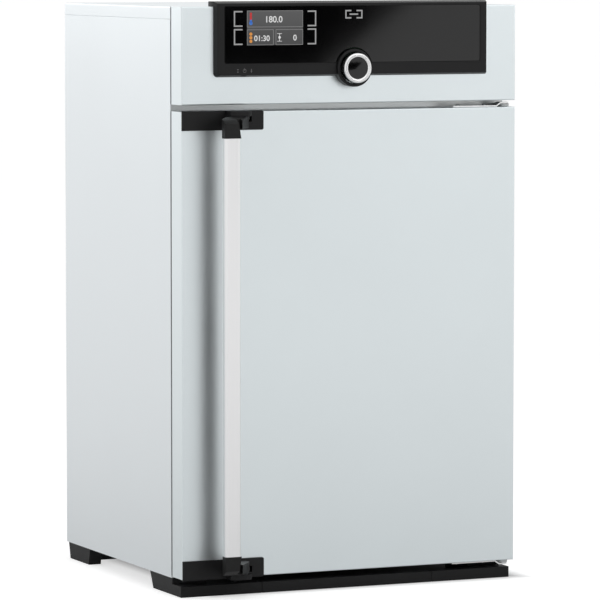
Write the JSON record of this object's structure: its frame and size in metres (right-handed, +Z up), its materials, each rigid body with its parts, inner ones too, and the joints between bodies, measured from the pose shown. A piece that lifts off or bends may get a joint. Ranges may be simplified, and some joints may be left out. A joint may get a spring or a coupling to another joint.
{
  "type": "laboratory oven",
  "caption": "Floor-standing stainless laboratory oven with a side-hinged latched door, a bar handle, a black glass control panel with a push-turn knob and wire shelves.",
  "frame": {"origin": "on the floor under the middle of the whole oven, handle and exhaust stub included", "axes": "+X to the right seen from the front, +Y from the door to the back, +Z up"},
  "size_m": [0.585, 0.592, 0.944],
  "materials": {
    "stainless_front": "textured matt stainless steel sheet",
    "stainless_side": "fine brushed stainless steel sheet",
    "stainless_chamber": "deep-drawn satin stainless steel",
    "galvanised_sheet": "zinc-coated sheet steel",
    "steel_bright": "polished steel",
    "steel_plain": "machined steel",
    "aluminium_profile": "natural anodised aluminium",
    "silver_plastic": "silver-grey moulded plastic",
    "black_plastic": "black moulded plastic",
    "black_metal": "black powder coat",
    "panel_glass": "black back-printed glass",
    "display": "glass-faced display module",
    "board": "green circuit board",
    "seal_rubber": "grey silicone rubber",
    "wool": "mineral wool board",
    "heater_foil": "foil-faced heating element"
  },
  "bodies": {
    "cabinet": {"base_pan": "galvanised_sheet", "chamber": "stainless_chamber", "control_board": "board", "control_fascia": "stainless_front", "control_frame": "black_plastic", "control_glass": "panel_glass", "display_module": "display", "encoder_body": "black_plastic", "end_heaters": "heater_foil", "exhaust_duct": "stainless_side", "exhaust_stub": "stainless_side", "flap_motor": "black_plastic", "foot_front_left": "black_plastic", "foot_front_right": "black_plastic", "fresh_air_duct": "stainless_side", "front_frame": "stainless_front", "front_skirt": "black_plastic", "hinge_lugs": "silver_plastic", "hinge_pins": "steel_plain", "insulation_jacket": "wool", "jacket_tray": "galvanised_sheet", "knob_collar": "black_plastic", "latch_strikes": "steel_plain", "mains_inlet": "black_plastic", "power_unit": "galvanised_sheet", "rear_crossbar": "black_metal", "rear_feet": "black_plastic", "rear_panel": "galvanised_sheet", "rear_panel_screws": "steel_bright", "side_heaters": "heater_foil", "side_panel_left": "stainless_side", "side_panel_right": "stainless_side", "temperature_probes": "steel_plain", "top_cover": "stainless_side"},
    "door": {"door_outer_panel": "stainless_front", "door_inner_panel": "stainless_front", "door_insulation": "wool", "door_seal": "seal_rubber", "hinge_straps": "steel_bright", "hinge_screws": "steel_bright", "hinge_bushes": "black_plastic", "latch_bracket_top": "black_metal", "latch_bracket_bottom": "black_metal", "handle_pins": "steel_plain"},
    "handle": {"handle_bar": "aluminium_profile", "handle_arm_top": "black_plastic", "handle_arm_bottom": "black_plastic", "latch_hooks": "steel_plain"},
    "knob_slider": {"encoder_plunger": "steel_plain"},
    "knob": {"encoder_shaft": "steel_plain", "knob_core": "black_plastic", "knob_ring": "steel_bright", "knob_face": "black_plastic"},
    "power_key": {"power_button": "black_plastic"},
    "air_flap": {"flap_disc": "stainless_side", "flap_shaft": "steel_plain"},
    "lower_shelf": {"shelf_lower": "steel_bright"},
    "upper_shelf": {"shelf_upper": "steel_bright"}
  },
  "joints": [
    {"name": "door_hinge", "type": "hinge", "parent": "cabinet", "child": "door", "pos_m": [0.279, -0.226, 0.4005], "axis": [0, 0, 1], "range_deg": [0, 180]},
    {"name": "handle_turn", "type": "hinge", "parent": "door", "child": "handle", "pos_m": [-0.1955, -0.2545, 0.4005], "axis": [0, 0, 1], "range_deg": [0, 32]},
    {"name": "knob_press", "type": "slide", "parent": "cabinet", "child": "knob_slider", "axis": [0, 1, 0], "range_m": [0, 0.0015], "stiffness_N_per_m": 2000},
    {"name": "knob_turn", "type": "hinge", "parent": "knob_slider", "child": "knob", "pos_m": [0, -0.25, 0.8375], "axis": [0, 1, 0], "continuous": true},
    {"name": "power_press", "type": "slide", "parent": "cabinet", "child": "power_key", "axis": [0, 0, 1], "range_m": [0, 0.0015], "stiffness_N_per_m": 1500},
    {"name": "air_flap_turn", "type": "hinge", "parent": "cabinet", "child": "air_flap", "pos_m": [-0.11, 0.23, 0.62], "axis": [1, 0, 0], "range_deg": [0, 90]},
    {"name": "lower_shelf_slide", "type": "slide", "parent": "cabinet", "child": "lower_shelf", "axis": [0, -1, 0], "range_m": [0, 0.009]},
    {"name": "upper_shelf_slide", "type": "slide", "parent": "cabinet", "child": "upper_shelf", "axis": [0, -1, 0], "range_m": [0, 0.009]}
  ]
}
